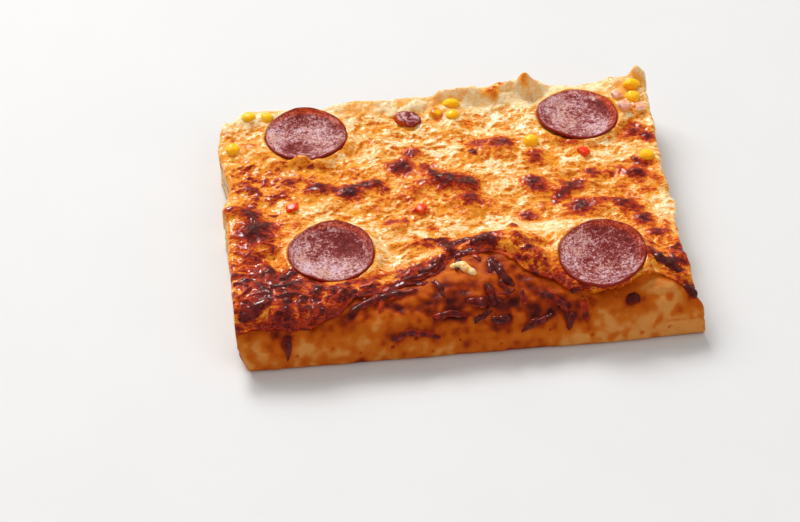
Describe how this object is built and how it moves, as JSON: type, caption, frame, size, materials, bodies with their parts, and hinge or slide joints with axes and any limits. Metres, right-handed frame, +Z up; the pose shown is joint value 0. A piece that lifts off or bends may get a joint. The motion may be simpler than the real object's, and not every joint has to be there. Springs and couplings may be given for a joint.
{
  "type": "rectangular pepperoni pizza slice",
  "caption": "Rectangular piece of thick-crust pan pizza with melted cheese, cupped pepperoni slices, corn, ham cubes and red pepper dice, cut on three sides.",
  "frame": {"origin": "middle of the flat underside of the bread", "axes": "+X along the thick bread rim, to the right as seen from the rim; +Y from the rim towards the cut back edge; +Z up out of the cheese"},
  "size_m": [0.2076, 0.1686, 0.0306],
  "materials": {
    "crust": "baked bread, matte golden tan with darker baked spots",
    "sauce": "moist tomato sauce",
    "cheese": "melted cheese, glossy and oily, browned on its blisters",
    "pepperoni": "baked sausage, dark red with an oily sheen",
    "corn": "glossy yellow kernel skin",
    "ham": "moist pink ham",
    "pepper": "shiny red pepper skin",
    "chip": "browned sausage"
  },
  "bodies": {
    "root": {"crust": "crust", "sauce": "sauce", "cheese": "cheese", "pepperoni_back_left": "pepperoni", "pepperoni_front_left": "pepperoni", "pepperoni_back_right": "pepperoni", "pepperoni_front_right": "pepperoni", "corn_kernel_1": "corn", "corn_kernel_2": "corn", "corn_kernel_3": "corn", "corn_kernel_4": "corn", "corn_kernel_5": "corn", "corn_kernel_6": "corn", "corn_kernel_7": "corn", "corn_kernel_8": "corn", "corn_kernel_9": "corn", "corn_kernel_10": "corn", "ham_cube_1": "ham", "ham_cube_2": "ham", "ham_cube_3": "ham", "red_pepper_dice_1": "pepper", "red_pepper_dice_2": "pepper", "red_pepper_dice_3": "pepper", "sausage_chip_1": "chip"}
  },
  "joints": []
}
